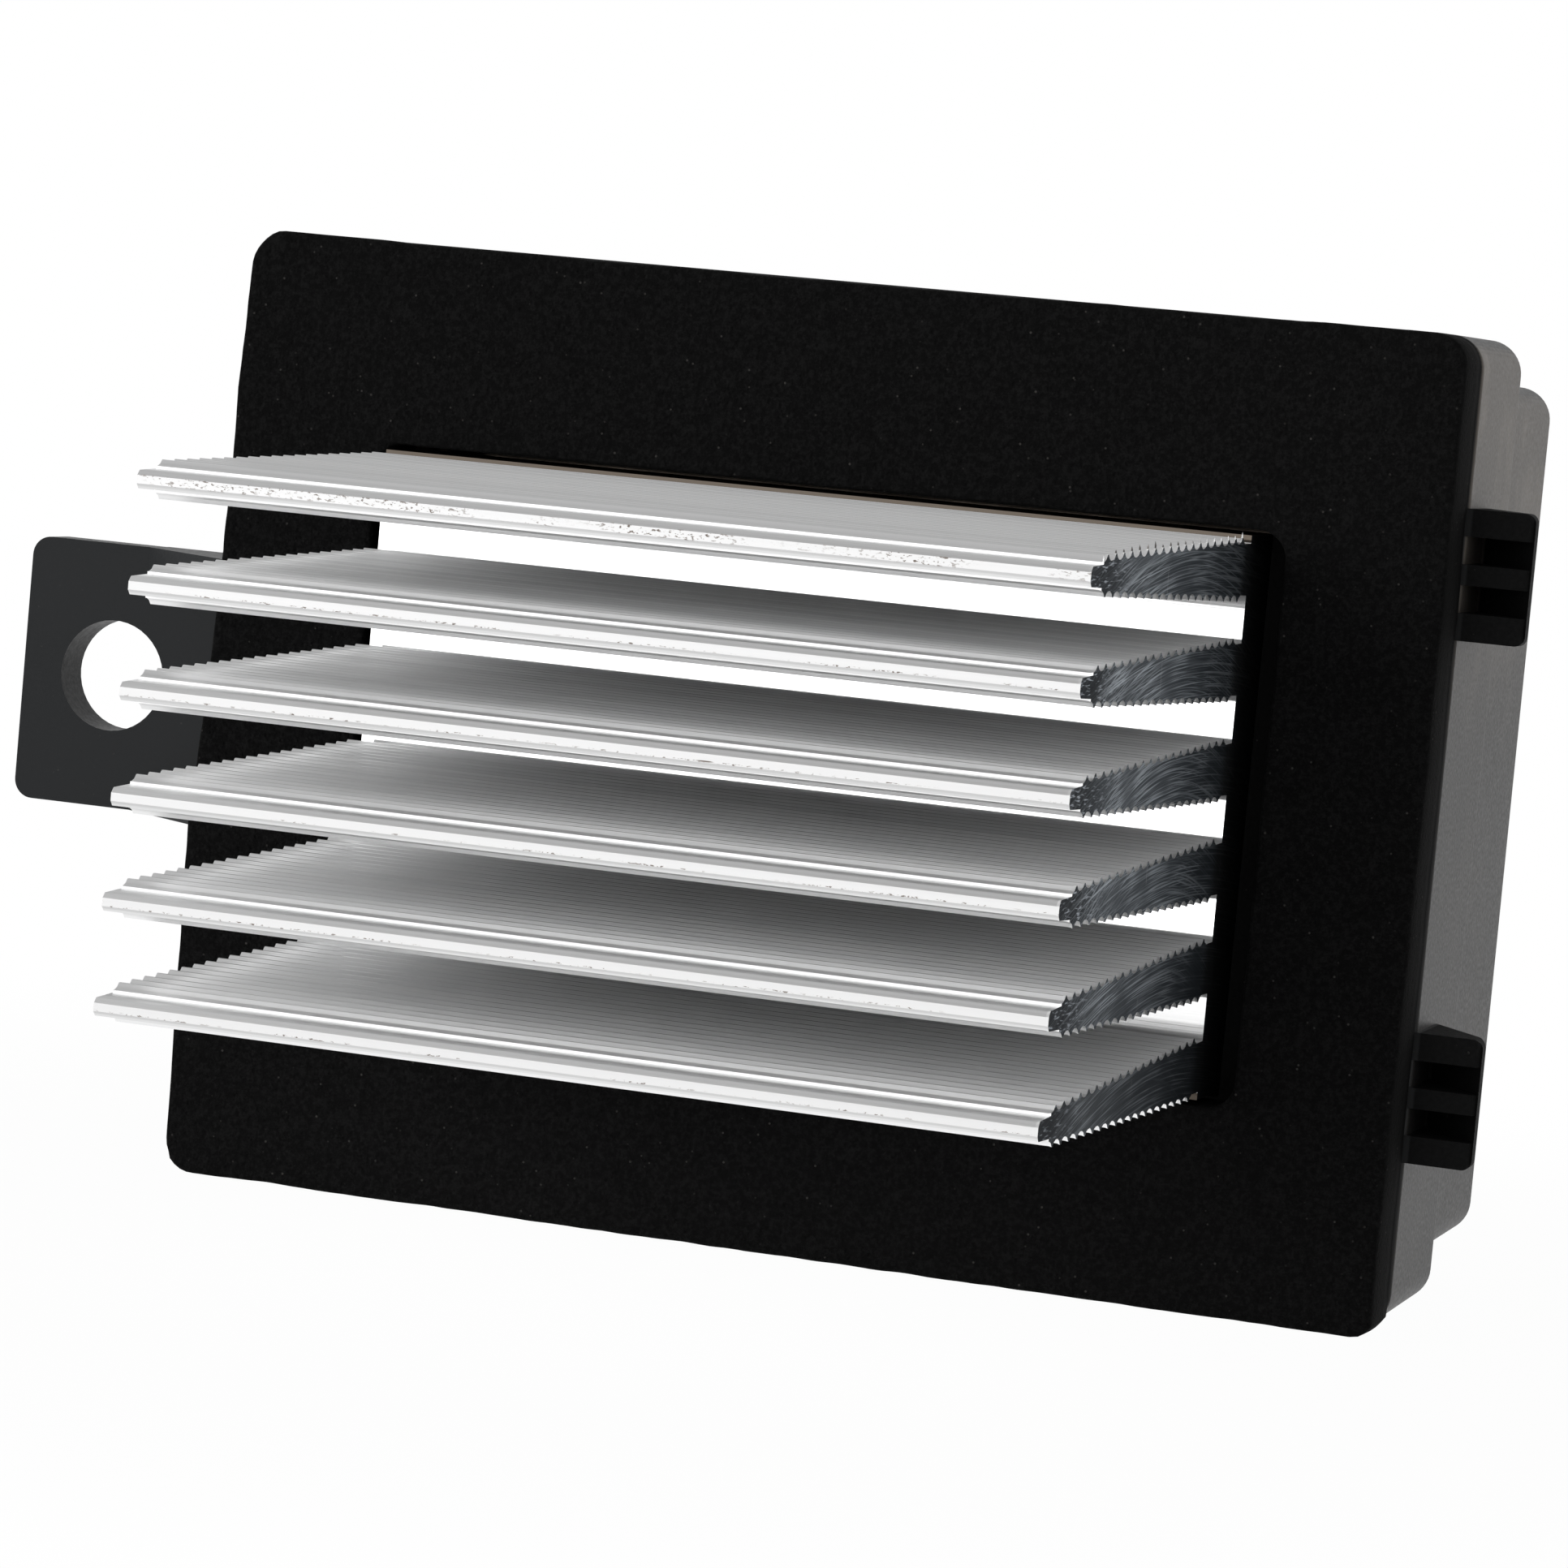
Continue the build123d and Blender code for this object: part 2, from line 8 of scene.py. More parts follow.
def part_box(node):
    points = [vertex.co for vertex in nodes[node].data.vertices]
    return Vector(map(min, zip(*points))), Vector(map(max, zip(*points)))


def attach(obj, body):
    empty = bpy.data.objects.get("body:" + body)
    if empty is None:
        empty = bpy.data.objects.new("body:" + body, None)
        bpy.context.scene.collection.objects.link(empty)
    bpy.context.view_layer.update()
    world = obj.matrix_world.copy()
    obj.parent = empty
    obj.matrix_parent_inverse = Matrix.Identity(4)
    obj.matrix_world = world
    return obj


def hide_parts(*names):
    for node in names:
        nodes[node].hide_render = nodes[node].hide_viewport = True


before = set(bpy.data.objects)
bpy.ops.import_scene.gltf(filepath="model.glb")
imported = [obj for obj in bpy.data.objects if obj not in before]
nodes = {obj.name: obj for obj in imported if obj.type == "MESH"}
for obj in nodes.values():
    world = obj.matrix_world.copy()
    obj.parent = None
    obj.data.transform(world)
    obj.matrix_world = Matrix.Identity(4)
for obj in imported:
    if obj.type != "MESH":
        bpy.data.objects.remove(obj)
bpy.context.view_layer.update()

# Blower motor resistor. Metres, in the CAD frame: X along the fins, -Y into the duct, +Z up.
# The CAD nodes get their materials, a cut sheet with a wavy edge replaces the foam's plain
# ring, and the fins get the burrs of the saw.
MM = 0.001

# Camera, fitted to the photograph
CAMERA_YAW = math.radians(17.216)
CAMERA_PITCH = math.radians(4.427)
CAMERA_ROLL = math.radians(5.237)
CAMERA_DISTANCE = 332.27 * MM
CAMERA_TARGET = Vector((-0.485, 0.0, -0.915)) * MM
CAMERA_LENS = 129.98
CAMERA_CLIP = (0.01, 10.0)
SENSOR_WIDTH = 36.0

# Sizes of the CAD pieces
foam_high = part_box("foam_gasket")[1]
sink_low, sink_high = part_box("heat_sink")
housing_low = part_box("housing")[0]
FIN_COUNT = 6
FIN_PITCH = 5.74 * MM
FIN_REACH = -sink_low.y
ROOT_HALF = 1.5 * MM
TIP_HALF = 0.72 * MM
FLANK_LENGTH = 33.6 * MM
RIDGE_HEIGHT = 0.34 * MM
NECK_STEP = 15.87 * MM
SINK_RIGHT = sink_high.x
WINDOW_HALF_X = 28.0 * MM
WINDOW_HALF_Z = 16.65 * MM

# Housing: where its zones begin and end in millimetres, and how it looks there
LUG_ZONE = (foam_high.x / MM + 0.1, foam_high.x / MM + 0.3)
EAR_ZONE = (-39.0, -38.0)
PAINTED_SHEEN_ZONE = (2.0, 28.0)
WINDOW_WALL_START = (SINK_RIGHT / MM - 1.0, SINK_RIGHT / MM)
WINDOW_WALL_END = (WINDOW_HALF_X / MM + 1.5, WINDOW_HALF_X / MM + 2.5)
WINDOW_WALL_DEPTH = (6.0, 9.0)
HOUSING_BLACK = 0.016
HOUSING_WARMTH = -0.03
HOUSING_ROUGHNESS = 0.42
PAINTED_SHEEN_SHARE = 0.24
SPECK_SHARE = 0.35

# Fins: where their zones begin and end in millimetres, and how they look there
NOSE_Y = -FIN_REACH / MM
NOSE_ZONE = (NOSE_Y + 0.08, NOSE_Y + 0.2)
CORNER_ZONE = (NOSE_Y + 0.9, NOSE_Y + 1.3)
SHADED_TIP_ZONE = (NOSE_Y + 2.0, NOSE_Y + 12.0)
GULLET_SHADE_ZONE = (-28.0, -12.0)
NEEDLE_ZONE = (-18.0, -8.0)
ROOT_SHADE_ZONE = (-2.5, -0.5)
FLOOR_ZONE = (-0.3, -0.1)
NECK_ZONE = (NECK_STEP / MM - 0.03, NECK_STEP / MM + 0.03)
NEEDLE_HEIGHT = (RIDGE_HEIGHT / MM + 0.03, RIDGE_HEIGHT / MM + 0.07)
GULLET_SHADE_HEIGHT = (0.02, 0.26)
TOP_FIN_ZONE = (12.0, 12.5)
UNEVEN_ZONE = (-14.0, 4.0)
STEEP_ZONE = (-14.0, 6.0)
LOW_FIN_SHADE_ZONE = (-15.0, -4.0)
NOSE_EDGE = 0.19
FLANK_SLOPE = (ROOT_HALF - TIP_HALF) / FLANK_LENGTH
FLOOR_LEAN = 0.04
FIN_METALLIC = 0.92
FAR_ARCS = ((-9.0, -100.0), 8.0)
NEAR_ARCS = ((-13.0, -34.0), 6.5)

# Foam seal: the sheet's grid in metres, and the ways its cut edges stray in millimetres
FOAM_STEP = 0.45 * MM
FOAM_EDGE = 0.22 * MM
FOAM_ROWS = 26
FOAM_CORNER = 2.0 * MM
FOAM_HALF_X, FOAM_THICKNESS, FOAM_HALF_Z = foam_high
WINDOW_CORNER = 1.6 * MM
WINDOW_STEP = 0.01 * MM
WINDOW_SEED = Vector((5, 5, 5))
TRIM = 0.15
BOTTOM_TRIM = 0.02
CORNER_PULL = 0.3
WINDOW_TRIM = 0.03
WINDOW_BULGE = 0.4
RIM_BULGE = 0.06
FACE_DROP = 0.12

# Burrs of the saw
WELD_DISTANCE = 0.001 * MM
END_MARGIN = 0.02 * MM
ROOT_MARGIN = 1.0 * MM
TIP_MARGIN = 1.6 * MM
RIDGE_TOP_WIDTH = 0.3 * MM
LIP_DEPTH = 0.16 * MM
NEEDLE_GAP = 0.8 * MM
NEEDLE_HALF = 0.045 * MM
NEEDLE_DEPTH = 0.08 * MM
NEEDLE_FOOT = 0.05 * MM
NEEDLE_TIP = 0.03 * MM
NEEDLE_SEED = Vector((3.0, 7.0, 1.0))

# Stage
FLOOR_REACH = 1.5
FLOOR_GAP = 0.2 * MM
SHADOW_ZONE = (50.0, 130.0)
SHADOW_SHARE = 0.975
CEILING_ZONE = (0.15, 0.8)
CEILING_LEVEL = 0.45
ROOM_LEVEL = 0.5
# Each lamp's name, place, width, height and power; all face the origin
LAMPS = (
    ("key_lamp", (-0.8, -0.5, 0.35), 0.6, 0.6, 3.0),
    ("front_lamp", (-0.28, -0.86, 0.12), 1.2, 0.3, 1.6),
)


# Colours, linear
def rgb(red, green, blue):
    return (red, green, blue, 1.0)


def grey(value, warm=0.0):
    """A near-neutral colour; warm above 0 is redder."""
    return rgb(value * (1 + warm), value, value * (1 - warm))


# The ear's black is painted light
EAR_PAINTED_LIT_BLACK = rgb(0.017, 0.0185, 0.02)
# The end walls' pale grey is a painted sheen
PAINTED_SHEEN_GREY = grey(0.8, 0.14)
DUST_GREY = grey(0.12, 0.05)
NEEDLE_BROWN = rgb(0.07, 0.06, 0.05)
DIRT_BROWN = rgb(0.16, 0.12, 0.09)
NECK_BROWN = rgb(0.07, 0.058, 0.047)
SAWN_DARK = rgb(0.05, 0.06, 0.07)
SAWN_LIGHT = rgb(0.58, 0.63, 0.68)
# The sawn black is painted shade
SAWN_SHADE_BLACK = rgb(0.02, 0.022, 0.025)
SCRATCH_WHITE = rgb(0.85, 0.86, 0.88)
DASH_GREY = rgb(0.42, 0.45, 0.49)


# Node tree helpers
class Tree:
    """The node tree of a material or world, with short calls for the nodes used here."""

    def __init__(self, owner, output="ShaderNodeOutputMaterial"):
        self.owner = owner
        owner.use_nodes = True
        self.nodes = owner.node_tree.nodes
        self.links = owner.node_tree.links
        self.nodes.clear()
        self.out = self.nodes.new(output)

    def put(self, socket, value):
        """Link a socket, or set a plain number or colour on it."""
        if isinstance(value, bpy.types.NodeSocket):
            self.links.new(value, socket)
        elif value is not None:
            socket.default_value = value

    def put_all(self, sockets, values):
        for socket, value in zip(sockets, values):
            self.put(socket, value)

    def outputs(self, kind):
        """The outputs of a node that takes no input."""
        return self.nodes.new(kind).outputs

    def position(self):
        """The point's place in the part's own frame, in millimetres."""
        scale = self.nodes.new("ShaderNodeVectorMath")
        scale.operation = "SCALE"
        scale.inputs["Scale"].default_value = 1.0 / MM
        self.put(scale.inputs[0], self.outputs("ShaderNodeTexCoord")["Object"])
        return scale.outputs[0]

    def normal(self):
        return self.split(self.outputs("ShaderNodeNewGeometry")["True Normal"])

    def split(self, vector):
        node = self.nodes.new("ShaderNodeSeparateXYZ")
        self.put(node.inputs[0], vector)
        return node.outputs[0], node.outputs[1], node.outputs[2]

    def join(self, x, y, z):
        node = self.nodes.new("ShaderNodeCombineXYZ")
        self.put_all(node.inputs, (x, y, z))
        return node.outputs[0]

    def vector(self, operation, a, b=None):
        node = self.nodes.new("ShaderNodeVectorMath")
        node.operation = operation
        self.put_all(node.inputs, (a, b))
        return node.outputs[0]

    def stretch(self, vector, scale):
        return self.vector("MULTIPLY", vector, scale)

    def math(self, operation, a, b=None):
        node = self.nodes.new("ShaderNodeMath")
        node.operation = operation
        self.put_all(node.inputs, (a, b))
        return node.outputs[0]

    def size(self, value):
        return self.math("ABSOLUTE", value)

    def plus(self, a, b):
        return self.math("ADD", a, b)

    def minus(self, a, b):
        return self.math("SUBTRACT", a, b)

    def larger(self, a, b):
        return self.math("MAXIMUM", a, b)

    def times(self, first, *others):
        for other in others:
            first = self.math("MULTIPLY", first, other)
        return first

    def length(self, a, b):
        return self.math("SQRT", self.plus(self.times(a, a), self.times(b, b)))

    def noise(self, vector, scale=1.0, detail=3.0, roughness=0.55, distortion=0.0):
        """Noise from 0 to 1, with its scale in cycles per millimetre."""
        node = self.nodes.new("ShaderNodeTexNoise")
        self.put(node.inputs["Vector"], vector)
        node.inputs["Scale"].default_value = scale
        node.inputs["Detail"].default_value = detail
        node.inputs["Roughness"].default_value = roughness
        node.inputs["Distortion"].default_value = distortion
        return node.outputs["Fac"]

    def cells(self, vector, scale=1.0):
        """Distance to the nearest of a scatter of points."""
        node = self.nodes.new("ShaderNodeTexVoronoi")
        self.put(node.inputs["Vector"], vector)
        node.inputs["Scale"].default_value = scale
        return node.outputs["Distance"]

    def ramp(self, value, low, high, start=0.0, end=1.0):
        """A smooth step of a value between two limits."""
        node = self.nodes.new("ShaderNodeMapRange")
        node.interpolation_type = "SMOOTHSTEP"
        self.put_all(node.inputs, (value, low, high, start, end))
        return node.outputs[0]

    def fade(self, value, low, high, start=1.0):
        """A smooth step from a start down to nothing."""
        return self.ramp(value, low, high, start, 0.0)

    def mix(self, factor, a, b):
        """Blend two colours."""
        node = self.nodes.new("ShaderNodeMix")
        node.data_type = "RGBA"
        self.put(node.inputs[0], factor)
        self.put_all(node.inputs[6:8], (a, b))
        return node.outputs[2]

    def cover(self, base, *layers):
        """Lay colours over a base, each with its share."""
        for share, colour in layers:
            base = self.mix(share, base, colour)
        return base

    def bump(self, height, distance, strength=0.4):
        """Bump from a height, with its distance in millimetres."""
        node = self.nodes.new("ShaderNodeBump")
        node.inputs["Strength"].default_value = strength
        node.inputs["Distance"].default_value = distance * MM
        self.put(node.inputs["Height"], height)
        return node.outputs[0]

    def surface(self, colour, roughness, normal, metallic=0.0, specular=0.5):
        """Show a surface, and return its material."""
        node = self.nodes.new("ShaderNodeBsdfPrincipled")
        self.put(node.inputs["Base Color"], colour)
        self.put(node.inputs["Roughness"], roughness)
        self.put(node.inputs["Normal"], normal)
        node.inputs["Metallic"].default_value = metallic
        node.inputs["Specular IOR Level"].default_value = specular
        self.put(self.out.inputs[0], node.outputs[0])
        return self.owner

    def white_light(self, kind, strength):
        node = self.nodes.new(kind)
        node.inputs["Color"].default_value = (1, 1, 1, 1)
        self.put(node.inputs["Strength"], strength)
        return node.outputs[0]

    def show_blend(self, share, a, b):
        """Show one shader, and a share of another over it."""
        node = self.nodes.new("ShaderNodeMixShader")
        self.put_all(node.inputs, (share, a, b))
        self.put(self.out.inputs[0], node.outputs[0])


def material_tree(name):
    return Tree(bpy.data.materials.new(name))


# Materials
def plastic_material():
    """Black moulding plastic: fine grain, flow marks, dust, and a pale painted sheen on the end
    walls, stronger towards the top.
    """
    tree = material_tree("housing_plastic_finish")
    place = tree.position()
    x, y, z = tree.split(place)
    grain = tree.noise(place, scale=4.0, detail=4.0)
    flow = tree.noise(tree.stretch(place, (0.25, 0.05, 0.12)), distortion=0.6)
    # Painted sheen: pale grey laid on the end walls in patches, stronger towards the top, stands
    # in for their grazing reflection
    sheen_patches = tree.ramp(tree.noise(tree.stretch(place, (0.12, 0.2, 0.12))), 0.35, 0.7)
    painted_sheen = tree.times(tree.ramp(z, *PAINTED_SHEEN_ZONE, 0.1, 1.0), tree.ramp(sheen_patches, 0.0, 1.0, 0.6, 1.0),
                      tree.ramp(tree.size(tree.normal()[0]), 0.5, 0.9), PAINTED_SHEEN_SHARE)
    specks = tree.times(tree.fade(tree.cells(place, 1.1), 0.05, 0.12),
                        tree.ramp(grain, 0.5, 0.7), SPECK_SHARE)

    # The lugs and the wall beside the fins' right ends get painted shade: a far darker colour
    # and a rougher finish, so they mirror nothing pale
    in_window = tree.times(tree.ramp(x, *WINDOW_WALL_START), tree.fade(y, *WINDOW_WALL_DEPTH),
                           tree.fade(x, *WINDOW_WALL_END))
    shaded = tree.larger(tree.ramp(x, *LUG_ZONE), in_window)

    dark, light, shade = (grey(HOUSING_BLACK * k, HOUSING_WARMTH) for k in (0.8, 1.25, 0.1))
    colour = tree.cover(
        tree.mix(tree.ramp(flow, 0.35, 0.7), dark, light),
        (painted_sheen, PAINTED_SHEEN_GREY),
        # Painted light: the ear gets a lighter, bluer black than the rest of the housing
        (tree.fade(x, *EAR_ZONE), EAR_PAINTED_LIT_BLACK),
        (shaded, shade),
        (specks, DUST_GREY),
    )
    rough = tree.ramp(grain, 0.2, 0.8, HOUSING_ROUGHNESS - 0.06, HOUSING_ROUGHNESS + 0.1)
    rough = tree.plus(rough, tree.times(shaded, 0.35))
    height = tree.plus(grain, tree.times(flow, 0.6))
    return tree.surface(colour, rough, tree.bump(height, 0.02), specular=0.15)


def metal_material(name, colour, dark, roughness, grain=(1.0, 1.0, 1.0)):
    """Plain metal with drawn or cast grain and faint stains."""
    tree = material_tree(name)
    place = tree.position()
    lines = tree.noise(tree.stretch(place, grain), scale=2.0, detail=4.0)
    stains = tree.noise(place, scale=0.35)
    shade = tree.mix(tree.ramp(stains, 0.4, 0.75), colour, dark)
    rough = tree.ramp(lines, 0.25, 0.75, roughness - 0.07, roughness + 0.1)
    return tree.surface(shade, rough, tree.bump(lines, 0.01, 0.6), metallic=1.0)


def mottled_material(name, scale, dark, light, roughness, depth, strength=0.4, detail=2.0,
                     limits=None):
    """A body of one colour with fine mottling, sharper between limits."""
    tree = material_tree(name)
    mottle = tree.noise(tree.position(), scale, detail)
    share = tree.ramp(mottle, *limits) if limits else mottle
    return tree.surface(tree.mix(share, dark, light), roughness,
                        tree.bump(mottle, depth, strength))


def board_material():
    """Green laminate with a woven ground and paler tracks under the mask."""
    tree = material_tree("board_laminate_finish")
    place = tree.position()
    x, _, z = tree.split(place)
    weave = tree.times(*(tree.math("SINE", tree.times(way, 12.0)) for way in (x, z)))
    tracks = tree.noise(tree.stretch(place, (0.9, 0.0, 0.25)), scale=0.4, detail=1.0)
    bands = tree.ramp(tracks, 0.5, 0.53)
    colour = tree.mix(bands, rgb(0.012, 0.09, 0.035), rgb(0.02, 0.15, 0.06))
    height = tree.plus(bands, tree.times(weave, 0.1))
    return tree.surface(colour, 0.32, tree.bump(height, 0.03, 0.5))


def foam_material():
    """Near-black closed-cell foam with fine grain, pale specks and a smoother cut side."""
    tree = material_tree("seal_foam_finish")
    place = tree.position()
    grain = tree.noise(place, scale=3.4, roughness=0.75)
    pores = tree.ramp(tree.cells(place, 2.6), 0.0, 0.45)
    side = tree.fade(tree.size(tree.normal()[1]), 0.4, 0.7)
    flecks = tree.times(tree.fade(tree.cells(place, 1.4), 0.06, 0.13),
                        tree.ramp(tree.noise(place, scale=0.7, detail=2.0), 0.46, 0.6))
    colour = tree.cover(
        tree.mix(tree.ramp(grain, 0.4, 0.68), grey(0.0045), grey(0.0105)),
        (tree.times(side, 0.8), grey(0.008)),
        (tree.times(flecks, 0.6), grey(0.08, 0.06)),
    )
    height = tree.plus(grain, tree.times(pores, 0.6))
    return tree.surface(colour, 0.95, tree.bump(height, 0.12, 0.8), specular=0.06)


def fin_material():
    """The extrusion: satin and drawn along X, sawn at both ends, with dirt along each nose."""
    tree = material_tree("fin_aluminium_finish")
    place = tree.position()
    x, y, z = tree.split(place)
    nx, ny, nz = tree.normal()
    is_end = tree.ramp(tree.size(nx), 0.85, 0.95)
    not_end = tree.minus(1.0, is_end)

    # Die lines run the whole length, so they hardly change along X
    drawn = tree.noise(tree.stretch(place, (0.006, 3.0, 3.0)), detail=2.0, roughness=0.7)
    rank = tree.math("DIVIDE", z, FIN_PITCH / MM)
    from_fin = tree.minus(tree.math("FRACT", rank), 0.5)
    offset = tree.times(from_fin, FIN_PITCH / MM)
    patches = tree.noise(tree.stretch(place, (0.16, 0.5, 0.5)), detail=1.0)
    at_nose, dirt = nose_dirt(tree, place, y, z, offset, patches)
    sawn, stroke, tip = saw_cut(tree, place, y, z, patches)

    # The base between the fins is bright, and its neck stands clear of the outer fins, painted
    # dark brown
    near_base = tree.ramp(y, *FLOOR_ZONE)
    neck = tree.times(tree.ramp(tree.size(z), *NECK_ZONE), near_base)
    floor = tree.times(tree.fade(ny, -0.95, -0.9), near_base)
    face = tree.cover(
        ridged_faces(tree, x, y, z, drawn, rank, offset),
        # Painted shade: the noses get a duller grey, which tones down their highlight
        (at_nose, grey(0.7)),
        (tree.times(dirt, 0.85), DIRT_BROWN),
        (neck, NECK_BROWN),
        (tree.times(floor, tree.minus(1.0, neck)), grey(0.985)),
    )

    smooth = tree.plus(tree.ramp(drawn, 0.3, 0.7, 0.3, 0.36), tree.times(at_nose, 0.12))
    smooth = tree.times(smooth, tree.ramp(floor, 0.0, 1.0, 1.0, 0.2))
    rough = tree.plus(tree.ramp(stroke, 0.0, 1.0, 0.5, 0.38), tree.times(tip, 0.35))
    rough = tree.plus(tree.times(smooth, not_end), tree.times(rough, is_end))
    rough = tree.plus(rough, tree.times(dirt, 0.25))

    # The floor between two fins leans a little upwards, and the nose's corners are rounded
    facing = tree.plus(tree.fade(nz, -0.6, -0.3, -0.7), tree.ramp(nz, 0.3, 0.6, 0.0, -0.3))
    corner = tree.times(tree.fade(y, *CORNER_ZONE), facing)
    tilt = tree.join(0.0, corner, tree.times(floor, FLOOR_LEAN))
    bump = tree.bump(tree.times(drawn, not_end), 0.0025, 0.5)
    normal = tree.vector("NORMALIZE", tree.vector("ADD", bump, tilt))
    return tree.surface(tree.mix(is_end, face, sawn), rough, normal, metallic=FIN_METALLIC)


def ridged_faces(tree, x, y, z, drawn, rank, offset):
    """Faces with painted shade in the gullets near the nose, and no two ridges alike."""
    flank = tree.plus(tree.times(y, FLANK_SLOPE), ROOT_HALF / MM)
    above_flank = tree.minus(tree.size(offset), flank)
    # Painted shade: the gullets between the ridges are darker near the nose
    gullet_shade = tree.times(tree.fade(above_flank, *GULLET_SHADE_HEIGHT), tree.fade(y, *GULLET_SHADE_ZONE, 0.28))
    row = tree.join(tree.times(x, 0.004), tree.times(y, 0.6), rank)
    ridge_tone = tree.noise(row, detail=2.0, roughness=0.75)
    uneven = tree.times(tree.ramp(ridge_tone, 0.45, 0.6, 0.0, 0.2),
                        tree.ramp(z, *UNEVEN_ZONE, 0.3, 1.0))
    needle = tree.times(tree.ramp(above_flank, *NEEDLE_HEIGHT), tree.fade(y, *NEEDLE_ZONE, 0.9))
    return tree.cover(
        tree.mix(tree.ramp(drawn, 0.35, 0.7), grey(0.985), grey(0.945, -0.004)),
        (gullet_shade, grey(0.5)),
        (uneven, grey(0.6)),
        (needle, NEEDLE_BROWN),
    )


def nose_dirt(tree, place, y, z, offset, patches):
    """Where the noses are, and the fine dirt along their edges and all over the top one's."""
    at_nose = tree.fade(y, *NOSE_ZONE)
    edge = tree.fade(tree.size(tree.plus(offset, NOSE_EDGE)), 0.02, 0.07)
    top_face = tree.times(tree.ramp(z, *TOP_FIN_ZONE), tree.fade(tree.size(offset), 0.2, 0.3))
    dots = tree.noise(tree.stretch(place, (2.6, 6.0, 6.0)), detail=2.0, roughness=0.75)
    specks = tree.times(tree.ramp(dots, 0.55, 0.62), tree.ramp(patches, 0.4, 0.6))
    nicks = tree.fade(tree.cells(tree.stretch(place, (0.085, 0.5, 1.0))), 0.03, 0.05)
    dirt = tree.larger(tree.times(tree.larger(edge, top_face), specks), nicks)
    return at_nose, tree.times(dirt, at_nose)


def saw_cut(tree, place, y, z, patches):
    """The sawn end's colour, its strokes and its tip, darkened with painted shade.

    It has fine arcs of a large blade, steeper ones on the upper fins and a few scratches, with
    painted shade near the nose, at the root and on the lower fins.
    """
    steep = tree.times(saw_strokes(tree, y, z, *NEAR_ARCS), tree.ramp(z, *STEEP_ZONE, 0.2, 1.0))
    stroke = tree.larger(saw_strokes(tree, y, z, *FAR_ARCS), steep)
    breaks = tree.noise(tree.stretch(place, (0.0, 0.18, 0.4)), detail=1.0)
    stroke = tree.times(stroke, tree.ramp(breaks, 0.36, 0.6, 0.3, 1.0))
    slanted = tree.join(0.0, tree.plus(y, tree.times(z, 0.1)), 0.0)
    scratch = tree.ramp(tree.noise(slanted, scale=1.7, detail=1.0, roughness=0.8), 0.68, 0.71)
    scratch = tree.times(scratch, tree.ramp(patches, 0.45, 0.6), 0.5)
    tip = tree.fade(y, *SHADED_TIP_ZONE)
    hatch = tree.join(0.0, tree.times(y, 0.8), tree.times(z, 6.5))
    dashes = tree.ramp(tree.noise(hatch, detail=1.0, roughness=0.7), 0.54, 0.72)
    colour = tree.cover(
        tree.mix(stroke, SAWN_DARK, SAWN_LIGHT),
        (scratch, SCRATCH_WHITE),
        # Painted shade: the end turns black towards the nose, standing in for a dark reflection
        (tree.times(tip, 0.85), SAWN_SHADE_BLACK),
        (tree.times(dashes, tip), DASH_GREY),
        # Painted shade: the end darkens towards its root and on the lower fins
        (tree.ramp(y, *ROOT_SHADE_ZONE, 0.0, 0.8), grey(0.03)),
        (tree.fade(z, *LOW_FIN_SHADE_ZONE, 0.5), SAWN_SHADE_BLACK),
    )
    return colour, stroke, tip


def saw_strokes(tree, y, z, centre, density):
    """Arcs about a centre (y, z) in millimetres, so many to a millimetre."""
    dy, dz = tree.minus(y, centre[0]), tree.minus(z, centre[1])
    along = tree.times(tree.math("ARCTAN2", dy, dz), -centre[1])
    lines = tree.join(tree.times(along, 0.07), tree.times(tree.length(dy, dz), density), 0.0)
    return tree.ramp(tree.noise(lines, detail=2.0, roughness=0.8), 0.48, 0.66)


materials = {
    "housing_plastic": plastic_material(),
    "seal_foam": foam_material(),
    "fin_aluminium": fin_material(),
    "board_laminate": board_material(),
    "screw_steel": metal_material("screw_steel_finish", grey(0.62, 0.02), grey(0.4, 0.04), 0.34),
    "spring_steel": metal_material(
        "spring_steel_finish", grey(0.5), grey(0.34, 0.02), 0.32, grain=(0.2, 3.0, 3.0)),
    "terminal_brass": metal_material(
        "terminal_brass_finish", rgb(0.78, 0.6, 0.3), rgb(0.55, 0.4, 0.2), 0.28,
        grain=(3.0, 0.3, 3.0)),
    "tinned_copper": metal_material(
        "tinned_copper_finish", grey(0.72, 0.02), grey(0.5, 0.04), 0.36),
    "shunt_metal": metal_material(
        "shunt_metal_finish", rgb(0.62, 0.5, 0.38), rgb(0.4, 0.3, 0.24), 0.38,
        grain=(3.0, 3.0, 0.3)),
    "capacitor_can": metal_material(
        "capacitor_can_finish", grey(0.75), grey(0.6), 0.25, grain=(2.0, 0.3, 2.0)),
    "package_resin": mottled_material(
        "package_resin_finish", 9.0, grey(0.012), grey(0.022), 0.5,
        depth=0.02, strength=0.5, limits=(0.3, 0.8)),
    "chip_ceramic": mottled_material(
        "chip_ceramic_finish", 3.0, rgb(0.16, 0.1, 0.06), rgb(0.26, 0.17, 0.1), 0.45,
        depth=0.02, detail=3.0),
    "pad_silicone": mottled_material(
        "pad_silicone_finish", 3.0, rgb(0.36, 0.4, 0.42), rgb(0.48, 0.52, 0.54), 0.7,
        depth=0.03),
    "sensor_epoxy": mottled_material(
        "sensor_epoxy_finish", 1.2, rgb(0.05, 0.03, 0.02), rgb(0.11, 0.06, 0.03), 0.3,
        depth=0.1, strength=0.5),
}


def slot_of(name):
    """The record's material slot that a CAD node's material stands for."""
    for slot in materials:
        if name.startswith(slot):
            return slot
    raise ValueError(f"no slot for material {name}")


for node in nodes.values():
    for holder in node.material_slots:
        holder.material = materials[slot_of(holder.material.name)]


